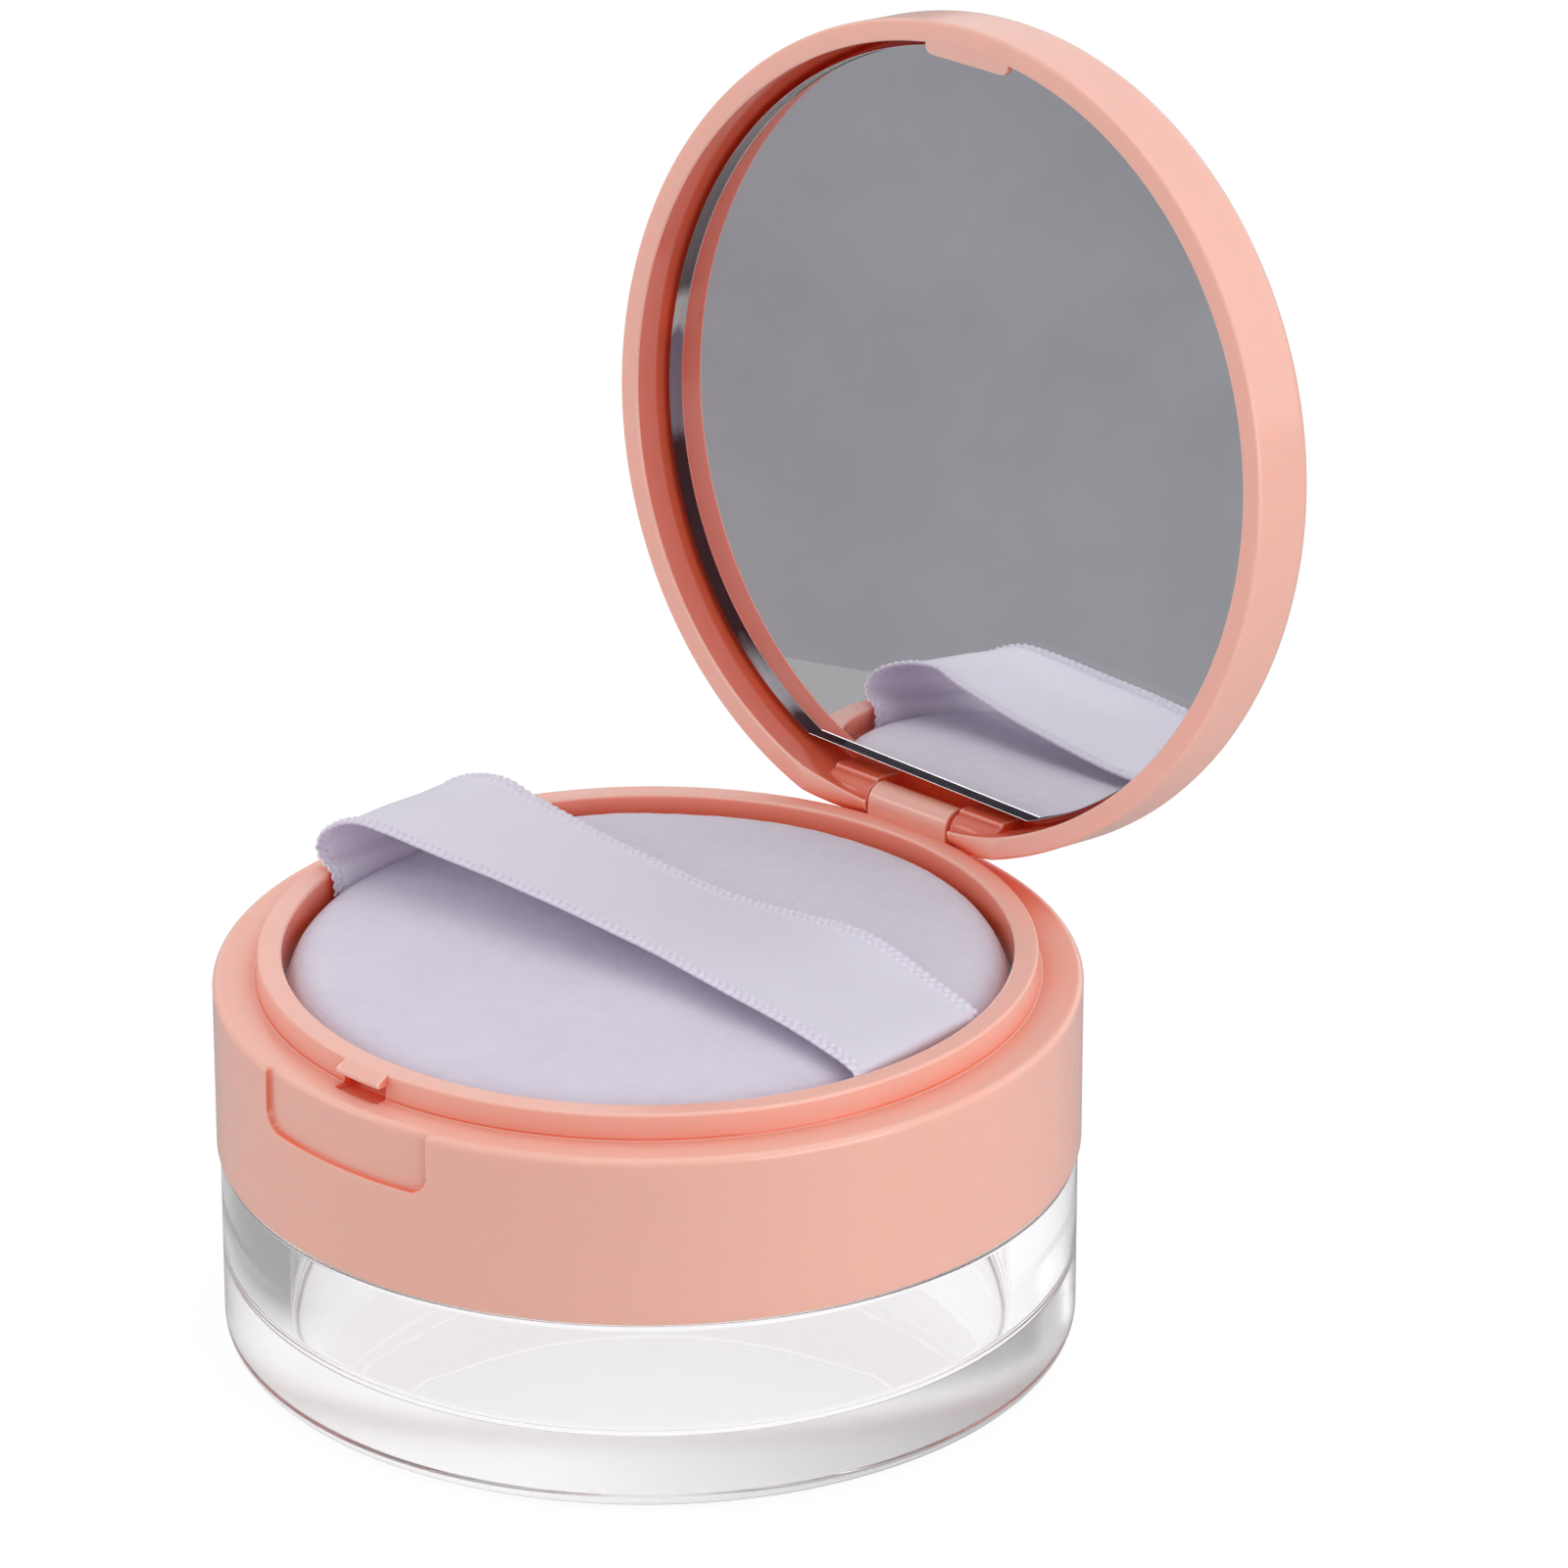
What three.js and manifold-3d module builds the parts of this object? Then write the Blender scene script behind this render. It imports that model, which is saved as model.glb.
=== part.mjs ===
// Loose-powder compact: a clear threaded jar, a screw-on head with a sifter and a puff well,
// and a hinged lid with a mirror. Millimetres, +Z up, origin at the centre of the jar's base,
// -Y towards the thumb recess, +Y towards the hinge. The lid stands open.
import * as THREE from 'three';
import { mergeVertices } from 'three/addons/utils/BufferGeometryUtils.js';
import Module from 'manifold-3d';

const wasm = await Module();
wasm.setup();

// ---- Driving dimensions -------------------------------------------------------------------

const gap = 0.3; // air left between pieces that touch
const roundSteps = 60; // facets round the large visible pieces
const hiddenSteps = 40; // facets round the small and hidden pieces

const jarRadius = 36.8;
const jarCavityRadius = 31.2;
const jarFloorTop = 4.7;
const jarFootFillet = 1.8;
const jarCavityFillet = 1.6;
const jarShoulder = 17.1;
const neckRadius = 33.9;
const neckTop = 28.3;

const threadPitch = 4.0;
const threadRidge = 0.85; // radius of the rounded thread ridge
const threadStart = 20.6; // height where the jar's ridge starts

const collarRadius = 37.1;
const collarBottom = jarShoulder + gap;
const collarSkirtInner = 35.2;
const collarEdge = 0.6; // fillet between the outer wall and the shelf
const shelfTop = 32.5;
const shelfUnderside = 31.0;
const ringOuterBase = 33.45;
const ringOuterTop = 33.2;
const ringInner = 31.15;
const ringTop = 34.8;
const beadInner = 34.7; // snap bead that holds the sifter tray
const beadTop = 29.6;

const recessDepth = 0.9;
const recessBottom = 27.0;
const recessHalfBottom = 9.2;
const recessHalfTop = 9.7;
const recessCorner = 1.8;

const catchHalf = 2.95;
const catchReach = 34.3; // how far the catch's lip stands from the axis
const catchTop = 34.15;
const catchUnderside = 33.75;
const catchHollowBack = 32.4;
const channelDepth = 0.35;

const trayFlangeRadius = collarSkirtInner - gap;
const trayFlangeTop = shelfUnderside - gap;
const trayFlangeBottom = 29.9;
const trayPlugRadius = jarCavityRadius - gap;
const trayDishRadius = 30.2;
const trayPlateBottom = 27.6;
const trayPlateTop = 28.4;
const siftHoleRadius = 0.8;
const siftRingStep = 6.6; // distance between the rings of sifting holes
const siftRings = 3;

const sealInner = 32.0;
const sealOuter = 33.7;

const hingeY = 34.35;
const hingeZ = 35.8;
const openAngle = 97; // degrees between the closed and the resting lid
const pinRadius = 0.6;
const pinBoreRadius = 0.68;
const pinHalf = 9.0;
const centreKnuckleHalf = 4.55;
const centreKnuckleRadius = 1.6;
const lidKnuckleRadius = 1.35;
const lidKnuckleEnd = 9.8;
const knuckleFront = 32.55; // front and back of the lid's knuckle blocks
const knuckleBack = 35.2;

const lidRadius = 36.7;
const lidRim = shelfTop + gap;
const lidTop = 40.1;
const lidFloor = 38.9; // the inner face that the mirror is stuck to
const lidInner = 34.75;
const lidEdge = 1.7;
// The rim is stepped at the hinge, and tapers beside it, so that the lid swings past the ring.
const stepHalf = 10.1;
const stepZ = hingeZ - lidKnuckleRadius;
const taperHalf = 12.3;
const taperRise = 0.6;
const tabHalf = 4.7;
const tabReach = 33.5;
const tabThickness = 0.8;

const windowFront = 31.9; // where the opening in the lid's wall for the centre knuckle starts
const stepFront = 28.9; // how far forward the step in the rim is cut
const beyond = 40; // further out than any wall, for cutters

const mirrorRadius = 34.0;
const mirrorFlat = 31.45; // distance of the mirror's flat side from its centre
const mirrorFace = lidRim + 3.4;
const mirrorThickness = 1.6;
const mirrorTurn = 1.5; // degrees that the glass sits turned in its recess
const padRadius = 29.0;
const padFlat = 27.5;
const padBottom = 38.0;
const padThickness = 0.6;

const puffBottom = trayPlateTop + gap;
const puffBackRadius = 26.8;
const puffBackThickness = 0.8;
const ribbonNear = -7;
const ribbonWidth = 16;
const ribbonThickness = 0.5;

// ---- Materials ----------------------------------------------------------------------------

const material = (color, roughness, metalness = 0) =>
  new THREE.MeshStandardMaterial({ color, roughness, metalness });
const clearPlastic = material(0xeef3f5, 0.05);
const coral = material(0xe9aa9c, 0.25);
const whitePlastic = material(0xf2f0ee, 0.4);
const sealFoam = material(0xf5f5f0, 0.9);
const steel = material(0xb9bcc0, 0.3, 1);
const silvered = material(0xdfe2e6, 0.03, 1);
const padTape = material(0xf0efe8, 0.9);
const velour = material(0xe6e2ee, 1);
const foam = material(0xf4f1e6, 1);
const satin = material(0xdcd8ea, 0.4);

// ---- Solids from three.js shapes ----------------------------------------------------------

function toSolid(geometry) {
  const source = geometry.index ? geometry.toNonIndexed() : geometry.clone();
  source.deleteAttribute('normal');
  source.deleteAttribute('uv');
  const merged = mergeVertices(source, 1e-4);
  const corners = merged.index.array;
  const triangles = [];
  for (let i = 0; i < corners.length; i += 3) {
    const [a, b, c] = [corners[i], corners[i + 1], corners[i + 2]];
    if (a !== b && b !== c && c !== a) triangles.push(a, b, c);
  }
  const points = merged.attributes.position.array;
  if (signedVolume(points, triangles) < 0) triangles.reverse();
  return new wasm.Manifold(
    new wasm.Mesh({
      numProp: 3,
      vertProperties: new Float32Array(points),
      triVerts: new Uint32Array(triangles),
    }),
  );
}

function signedVolume(points, triangles) {
  const corner = (n) => new THREE.Vector3().fromArray(points, 3 * n);
  let volume = 0;
  for (let i = 0; i < triangles.length; i += 3) {
    const [a, b, c] = [corner(triangles[i]), corner(triangles[i + 1]), corner(triangles[i + 2])];
    volume += a.dot(b.cross(c)) / 6;
  }
  return volume;
}

function toGeometry(solid) {
  const mesh = solid.getMesh();
  const geometry = new THREE.BufferGeometry();
  geometry.setAttribute('position', new THREE.BufferAttribute(mesh.vertProperties.slice(), 3));
  geometry.setIndex(new THREE.BufferAttribute(mesh.triVerts.slice(), 1));
  geometry.computeVertexNormals();
  return geometry;
}

// A profile of [radius, height] pairs turned about the Z axis.
function turned(profile, steps = roundSteps) {
  const closed = [...profile];
  const onAxis = profile[0][0] === 0 && profile.at(-1)[0] === 0;
  if (!onAxis) closed.push(profile[0]);
  const points = closed.map(([r, z]) => new THREE.Vector2(r, z));
  return toSolid(new THREE.LatheGeometry(points, steps).rotateX(Math.PI / 2));
}

function arc(centreR, centreZ, radius, fromDeg, toDeg, steps = 4) {
  const points = [];
  for (let i = 0; i <= steps; i++) {
    const angle = THREE.MathUtils.degToRad(fromDeg + ((toDeg - fromDeg) * i) / steps);
    points.push([centreR + radius * Math.cos(angle), centreZ + radius * Math.sin(angle)]);
  }
  return points;
}

function box(x0, x1, y0, y1, z0, z1) {
  const geometry = new THREE.BoxGeometry(x1 - x0, y1 - y0, z1 - z0);
  return toSolid(geometry.translate((x0 + x1) / 2, (y0 + y1) / 2, (z0 + z1) / 2));
}

function cylinderX(radius, x0, x1, y, z, steps = 24) {
  const geometry = new THREE.CylinderGeometry(radius, radius, x1 - x0, steps);
  return toSolid(geometry.rotateZ(Math.PI / 2).translate((x0 + x1) / 2, y, z));
}

function cylinderZ(radius, z0, z1, x = 0, y = 0, steps = roundSteps) {
  const geometry = new THREE.CylinderGeometry(radius, radius, z1 - z0, steps);
  return toSolid(geometry.rotateX(Math.PI / 2).translate(x, y, (z0 + z1) / 2));
}

// An outline of [y, z] pairs drawn out along X.
function prismX(outline, x0, x1) {
  const shape = new THREE.Shape(outline.map(([y, z]) => new THREE.Vector2(y, z)));
  const geometry = new THREE.ExtrudeGeometry(shape, { depth: x1 - x0, bevelEnabled: false });
  geometry.rotateY(Math.PI / 2).rotateX(Math.PI / 2);
  return toSolid(geometry.translate(x0, 0, 0));
}

function plate(shape, z0, thickness, curveSegments = 12) {
  const geometry = new THREE.ExtrudeGeometry(shape, {
    depth: thickness,
    bevelEnabled: false,
    curveSegments,
  });
  return toSolid(geometry.translate(0, 0, z0));
}

class Helix extends THREE.Curve {
  constructor(radius, pitch, startZ) {
    super();
    this.radius = radius;
    this.pitch = pitch;
    this.startZ = startZ;
  }
  getPoint(t, target = new THREE.Vector3()) {
    const angle = 2 * Math.PI * t;
    const x = this.radius * Math.cos(angle);
    const y = this.radius * Math.sin(angle);
    return target.set(x, y, this.startZ + this.pitch * t);
  }
}

// One turn of a right-handed rounded thread ridge.
function threadTurn(radius, startZ) {
  const section = new THREE.Shape();
  section.absarc(0, 0, threadRidge, 0, 2 * Math.PI);
  const geometry = new THREE.ExtrudeGeometry(section, {
    steps: 36,
    curveSegments: 3,
    bevelEnabled: false,
    extrudePath: new Helix(radius, threadPitch, startZ),
  });
  return toSolid(geometry);
}

// ---- Jar ----------------------------------------------------------------------------------

function jarSolid() {
  const foot = jarRadius - jarFootFillet;
  const cavityFloor = jarCavityRadius - jarCavityFillet;
  const bodyAndNeck = turned([
    [0, 0],
    ...arc(foot, jarFootFillet, jarFootFillet, -90, 0),
    [jarRadius, jarShoulder - 0.4],
    [jarRadius - 0.4, jarShoulder],
    [neckRadius, jarShoulder],
    [neckRadius, neckTop - 0.4],
    [neckRadius - 0.4, neckTop],
    [jarCavityRadius + 0.4, neckTop],
    [jarCavityRadius, neckTop - 0.4],
    ...arc(cavityFloor, jarFloorTop + jarCavityFillet, jarCavityFillet, 0, -90),
    [0, jarFloorTop],
  ]);
  return bodyAndNeck.add(threadTurn(neckRadius, threadStart));
}

// ---- Head: collar, sifter tray and seal ---------------------------------------------------

function collarRevolved() {
  const shelfEdge = collarRadius - collarEdge;
  return turned([
    [collarSkirtInner, collarBottom + 0.3],
    [collarSkirtInner + 0.3, collarBottom],
    [collarRadius - 0.2, collarBottom],
    [collarRadius, collarBottom + 0.2],
    ...arc(shelfEdge, shelfTop - collarEdge, collarEdge, 0, 90, 3),
    [ringOuterBase + 0.25, shelfTop],
    [ringOuterBase, shelfTop + 0.25],
    [ringOuterTop, ringTop - 0.2],
    [ringOuterTop - 0.2, ringTop],
    [ringInner + 0.2, ringTop],
    [ringInner, ringTop - 0.2],
    [ringInner, shelfUnderside],
    [collarSkirtInner, shelfUnderside],
    [collarSkirtInner, beadTop],
    [beadInner, beadTop - 0.1],
    [beadInner, beadTop - 0.3],
    [collarSkirtInner, beadTop - 0.6],
  ]);
}

function thumbRecessCutter() {
  const above = shelfTop + 1;
  const outline = new THREE.Shape();
  const cornerX = recessHalfBottom - recessCorner;
  const cornerZ = recessBottom + recessCorner;
  outline.moveTo(-recessHalfTop, above);
  outline.lineTo(-recessHalfBottom, cornerZ);
  outline.quadraticCurveTo(-recessHalfBottom + 0.2, recessBottom, -cornerX, recessBottom);
  outline.lineTo(cornerX, recessBottom);
  outline.quadraticCurveTo(recessHalfBottom - 0.2, recessBottom, recessHalfBottom, cornerZ);
  outline.lineTo(recessHalfTop, above);
  outline.closePath();
  const depth = 8;
  const geometry = new THREE.ExtrudeGeometry(outline, { depth, bevelEnabled: false, curveSegments: 4 });
  geometry.rotateX(Math.PI / 2).translate(0, depth - 2 - collarRadius, 0);
  const block = toSolid(geometry);
  return block.subtract(cylinderZ(collarRadius - recessDepth, 0, shelfTop + 2));
}

function catchBlock() {
  const root = -ringOuterTop + 0.6;
  return prismX(
    [
      [root, ringTop],
      [-ringOuterTop, ringTop],
      [-catchReach, catchTop],
      [-catchReach, catchUnderside],
      [root, catchUnderside],
    ],
    -catchHalf,
    catchHalf,
  );
}

function centreKnuckle() {
  const top = arc(hingeY, hingeZ, centreKnuckleRadius, 180, 0, 10);
  const front = hingeY - centreKnuckleRadius;
  const back = hingeY + centreKnuckleRadius;
  const outline = [[front - 0.15, shelfTop - 0.3], ...top, [back + 0.25, shelfTop - 0.3]];
  return prismX(outline, -centreKnuckleHalf, centreKnuckleHalf);
}

function collarSolid() {
  const hollow = box(
    -catchHalf,
    catchHalf,
    -ringOuterBase - 1,
    -catchHollowBack,
    shelfTop - channelDepth,
    catchUnderside - 0.05,
  );
  const channel = box(
    -catchHalf,
    catchHalf,
    -collarRadius,
    -ringOuterBase + 0.5,
    shelfTop - channelDepth,
    shelfTop + 0.2,
  );
  const reliefEnds = [
    [centreKnuckleHalf, lidKnuckleEnd + gap],
    [-lidKnuckleEnd - gap, -centreKnuckleHalf],
  ];
  let collar = collarRevolved()
    .add(threadTurn(collarSkirtInner, threadStart - threadPitch / 2))
    .subtract(thumbRecessCutter())
    .subtract(channel)
    .add(catchBlock())
    .subtract(hollow);
  for (const [from, to] of reliefEnds) {
    collar = collar.subtract(cylinderX(lidKnuckleRadius + 0.4, from, to, hingeY, hingeZ));
  }
  const bore = cylinderX(pinBoreRadius, -20, 20, hingeY, hingeZ);
  return collar.add(centreKnuckle()).subtract(bore);
}

function sifterTraySolid() {
  let tray = turned(
    [
      [0, trayPlateBottom],
      [trayPlugRadius - 0.2, trayPlateBottom],
      [trayPlugRadius, trayPlateBottom + 0.2],
      [trayPlugRadius, trayFlangeBottom],
      [trayFlangeRadius, trayFlangeBottom],
      [trayFlangeRadius, trayFlangeTop],
      [trayDishRadius, trayFlangeTop],
      [trayDishRadius, trayPlateTop],
      [0, trayPlateTop],
    ],
    hiddenSteps,
  );
  for (let ring = 0; ring <= siftRings; ring++) {
    const count = Math.max(1, 6 * ring);
    for (let n = 0; n < count; n++) {
      const angle = (2 * Math.PI * n) / count;
      const x = ring * siftRingStep * Math.cos(angle);
      const y = ring * siftRingStep * Math.sin(angle);
      const hole = cylinderZ(siftHoleRadius, trayPlateBottom - 1, trayPlateTop + 1, x, y, 8);
      tray = tray.subtract(hole);
    }
  }
  return tray;
}

function sealRingSolid() {
  const bottom = neckTop + gap;
  const top = trayFlangeBottom - gap;
  const profile = [
    [sealInner, bottom],
    [sealOuter, bottom],
    [sealOuter, top],
    [sealInner, top],
  ];
  return turned(profile, hiddenSteps);
}

// ---- Lid, drawn closed --------------------------------------------------------------------

function lidRevolved() {
  const shoulder = lidRadius - lidEdge;
  return turned([
    [0, lidFloor],
    [lidInner - 0.25, lidFloor],
    [lidInner, lidFloor - 0.25],
    [lidInner, lidRim + 0.2],
    [lidInner + 0.2, lidRim],
    [lidRadius - 0.25, lidRim],
    [lidRadius, lidRim + 0.25],
    ...arc(shoulder, lidTop - lidEdge, lidEdge, 0, 90, 5),
    [0, lidTop],
  ]);
}

function lidTab() {
  const outline = new THREE.Shape();
  const round = 0.8;
  outline.moveTo(-tabHalf, -lidInner - 0.6);
  outline.lineTo(tabHalf, -lidInner - 0.6);
  outline.lineTo(tabHalf, -tabReach - round);
  outline.quadraticCurveTo(tabHalf, -tabReach, tabHalf - round, -tabReach);
  outline.lineTo(-tabHalf + round, -tabReach);
  outline.quadraticCurveTo(-tabHalf, -tabReach, -tabHalf, -tabReach - round);
  outline.closePath();
  return plate(outline, lidRim, tabThickness, 4);
}

function lidKnuckle(x0, x1) {
  const block = box(x0, x1, knuckleFront, knuckleBack, hingeZ - 0.2, lidFloor + 0.2);
  return block.add(cylinderX(lidKnuckleRadius, x0, x1, hingeY, hingeZ));
}

// Cuts the step and its tapers, and nothing in front of the hinge.
function rimStep() {
  const below = lidRim - 1;
  const half = [
    [taperHalf, below],
    [taperHalf, lidRim],
    [stepHalf, lidRim + taperRise],
    [stepHalf, stepZ],
  ];
  const mirrored = half.map(([x, z]) => [-x, z]).reverse();
  const shape = new THREE.Shape([...half, ...mirrored].map(([x, z]) => new THREE.Vector2(x, z)));
  const depth = beyond - stepFront;
  const geometry = new THREE.ExtrudeGeometry(shape, { depth, bevelEnabled: false });
  return toSolid(geometry.rotateX(Math.PI / 2).translate(0, beyond, 0));
}

function lidSolid() {
  const windowHalf = centreKnuckleHalf + gap;
  const window = box(-windowHalf, windowHalf, windowFront, beyond, lidRim - 1, lidFloor - 0.7);
  const backHalf = lidKnuckleEnd + 0.7;
  const backCut = box(-backHalf, backHalf, knuckleBack, beyond, lidRim - 1, hingeZ - 0.2);
  const knuckles = lidKnuckle(windowHalf, lidKnuckleEnd).add(lidKnuckle(-lidKnuckleEnd, -windowHalf));
  const trimmed = knuckles.intersect(cylinderZ(lidRadius - 0.1, lidRim - 1, lidTop));
  const bore = cylinderX(pinBoreRadius, -pinHalf - gap, pinHalf + gap, hingeY, hingeZ);
  const shell = lidRevolved().subtract(window).subtract(backCut).subtract(rimStep());
  return shell.add(trimmed).subtract(bore).add(lidTab());
}

// A disc with one flat side towards +Y.
function discWithFlat(radius, flat) {
  const half = Math.sqrt(radius * radius - flat * flat);
  const edge = Math.atan2(flat, half);
  const outline = new THREE.Shape();
  outline.absarc(0, 0, radius, Math.PI - edge, 2 * Math.PI + edge);
  outline.closePath();
  return outline;
}

function mirrorSolid() {
  return plate(discWithFlat(mirrorRadius, mirrorFlat), mirrorFace, mirrorThickness, roundSteps / 2);
}

function padSolid() {
  return plate(discWithFlat(padRadius, padFlat), padBottom, padThickness, hiddenSteps / 2);
}

function pinSolid() {
  return cylinderX(pinRadius, -pinHalf, pinHalf, hingeY, hingeZ);
}

// ---- Puff ---------------------------------------------------------------------------------

function puffCoverSolid() {
  return turned(
    [
      [0, 35.7],
      [8, 35.6],
      [18, 35.3],
      [25, 34.8],
      [29, 34.0],
      [30.3, 33.1],
      [30.6, 32.1],
      [30.1, 31.2],
      [29.2, 30.0],
      [28.4, 29.1],
      [27.2, 29.1],
      [28.0, 30.2],
      [29.0, 31.4],
      [29.3, 32.1],
      [29.0, 32.8],
      [28.2, 33.3],
      [24.6, 33.8],
      [18, 34.2],
      [0, 34.6],
    ],
    hiddenSteps,
  );
}

function puffFoamSolid() {
  return turned(
    [
      [0, 29.9],
      [26.6, 29.9],
      [28.6, 32.0],
      [27.9, 32.9],
      [24.5, 33.4],
      [18, 33.8],
      [0, 34.2],
    ],
    hiddenSteps,
  );
}

function puffBackSolid() {
  return cylinderZ(puffBackRadius, puffBottom, puffBottom + puffBackThickness, 0, 0, hiddenSteps);
}

// The ribbon stands a little off the puff as a strap to put two fingers under. Its route is
// [x, z] along its middle, from the left end to the right.
const ribbonRoute = [
  [-29.5, 35.2],
  [-31.1, 35.7],
  [-31.6, 36.8],
  [-30.7, 38.1],
  [-28.4, 39.0],
  [-25, 39.3],
  [-18, 39.1],
  [-9, 38.7],
  [0, 38.2],
  [9, 37.9],
  [17, 37.4],
  [24, 36.4],
  [28, 35.5],
  [29.5, 35.2],
];

function ribbonSolid() {
  const side = (sign) =>
    ribbonRoute.map(([x, z], n) => {
      const [x0, z0] = ribbonRoute[Math.max(n - 1, 0)];
      const [x1, z1] = ribbonRoute[Math.min(n + 1, ribbonRoute.length - 1)];
      const along = new THREE.Vector2(x1 - x0, z1 - z0).normalize();
      const offset = (sign * ribbonThickness) / 2;
      return new THREE.Vector2(x - along.y * offset, z + along.x * offset);
    });
  const outline = new THREE.Shape([...side(1), ...side(-1).reverse()]);
  const geometry = new THREE.ExtrudeGeometry(outline, { depth: ribbonWidth, bevelEnabled: false });
  geometry.rotateX(Math.PI / 2).translate(0, ribbonNear + ribbonWidth, 0);
  return toSolid(geometry);
}

// ---- Assembly -----------------------------------------------------------------------------

function piece(name, solid, look) {
  const mesh = new THREE.Mesh(toGeometry(solid), look);
  mesh.name = name;
  return mesh;
}

const compact = new THREE.Group();

const jar = new THREE.Group();
jar.add(piece('jar', jarSolid(), clearPlastic));

const head = new THREE.Group();
head.add(piece('collar', collarSolid(), coral));
head.add(piece('sifter_tray', sifterTraySolid(), whitePlastic));
head.add(piece('sealing_ring', sealRingSolid(), sealFoam));
head.add(piece('hinge_pin', pinSolid(), steel));

const puff = new THREE.Group();
puff.add(piece('puff_cover', puffCoverSolid(), velour));
puff.add(piece('puff_foam', puffFoamSolid(), foam));
puff.add(piece('puff_back', puffBackSolid(), velour));
puff.add(piece('puff_ribbon', ribbonSolid(), satin));

// The lid's pieces are drawn closed, then the whole lid turns back about the hinge.
const lidHinge = new THREE.Group();
const lid = new THREE.Group();
const mirror = piece('mirror', mirrorSolid(), silvered);
mirror.rotation.z = THREE.MathUtils.degToRad(mirrorTurn);
lid.add(piece('lid_shell', lidSolid(), coral));
lid.add(piece('mirror_pad', padSolid(), padTape));
lid.add(mirror);
lid.position.set(0, -hingeY, -hingeZ);
lidHinge.add(lid);
lidHinge.position.set(0, hingeY, hingeZ);
lidHinge.rotation.x = THREE.MathUtils.degToRad(-openAngle);

compact.add(jar, head, puff, lidHinge);

export default compact;
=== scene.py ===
# Loose-powder compact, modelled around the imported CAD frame.
# Metres, +Z up, origin at the centre of the jar's base, -Y towards the thumb recess.
# Shapes are worked out in millimetres and turned into metres when a mesh is made.
import math
import random

import bmesh
import bpy
from mathutils import Matrix, Vector, noise


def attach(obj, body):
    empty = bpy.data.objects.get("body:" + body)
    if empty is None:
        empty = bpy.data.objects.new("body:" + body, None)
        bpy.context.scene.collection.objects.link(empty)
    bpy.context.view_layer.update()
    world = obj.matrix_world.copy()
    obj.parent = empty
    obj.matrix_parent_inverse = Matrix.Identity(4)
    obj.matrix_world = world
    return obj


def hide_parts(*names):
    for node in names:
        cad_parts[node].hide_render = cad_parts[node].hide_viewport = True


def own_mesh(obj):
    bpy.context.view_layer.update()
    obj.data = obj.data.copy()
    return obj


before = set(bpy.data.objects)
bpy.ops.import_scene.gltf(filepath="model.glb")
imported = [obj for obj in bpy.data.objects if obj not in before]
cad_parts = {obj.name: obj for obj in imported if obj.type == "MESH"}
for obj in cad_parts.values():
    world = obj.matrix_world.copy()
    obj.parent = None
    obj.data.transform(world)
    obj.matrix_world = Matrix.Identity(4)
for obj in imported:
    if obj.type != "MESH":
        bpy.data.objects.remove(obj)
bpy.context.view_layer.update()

MM = 0.001
TAU = 2 * math.pi
WHITE = (1, 1, 1, 1)
BLACK = (0, 0, 0, 1)
scene = bpy.context.scene

# ---- Camera ---------------------------------------------------------------------------------

AIM = Vector((0.00849, 0.00785, 0.04962))
AZIMUTH = math.radians(42.763)
ELEVATION = math.radians(23.865)
DISTANCE = 0.7268
LENS = 197.73


def direction(azimuth, elevation):
    across = math.cos(elevation)
    return Vector((math.sin(azimuth) * across, -math.cos(azimuth) * across, math.sin(elevation)))


camera_data = bpy.data.cameras.new("camera")
camera_data.lens = LENS
camera_data.sensor_width = 36
camera_data.sensor_fit = "HORIZONTAL"
camera_data.clip_start = 0.01
camera_data.clip_end = 50
camera = bpy.data.objects.new("camera", camera_data)
scene.collection.objects.link(camera)
camera.location = AIM + direction(AZIMUTH, ELEVATION) * DISTANCE
camera.rotation_euler = (AIM - camera.location).to_track_quat("-Z", "Y").to_euler()
scene.camera = camera
scene.view_settings.view_transform = "Standard"
# Light in the clear jar turns back on itself many times before it leaves.
scene.cycles.max_bounces = 28
scene.cycles.glossy_bounces = 20
scene.cycles.transmission_bounces = 28

# ---- Node helpers ---------------------------------------------------------------------------


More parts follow.
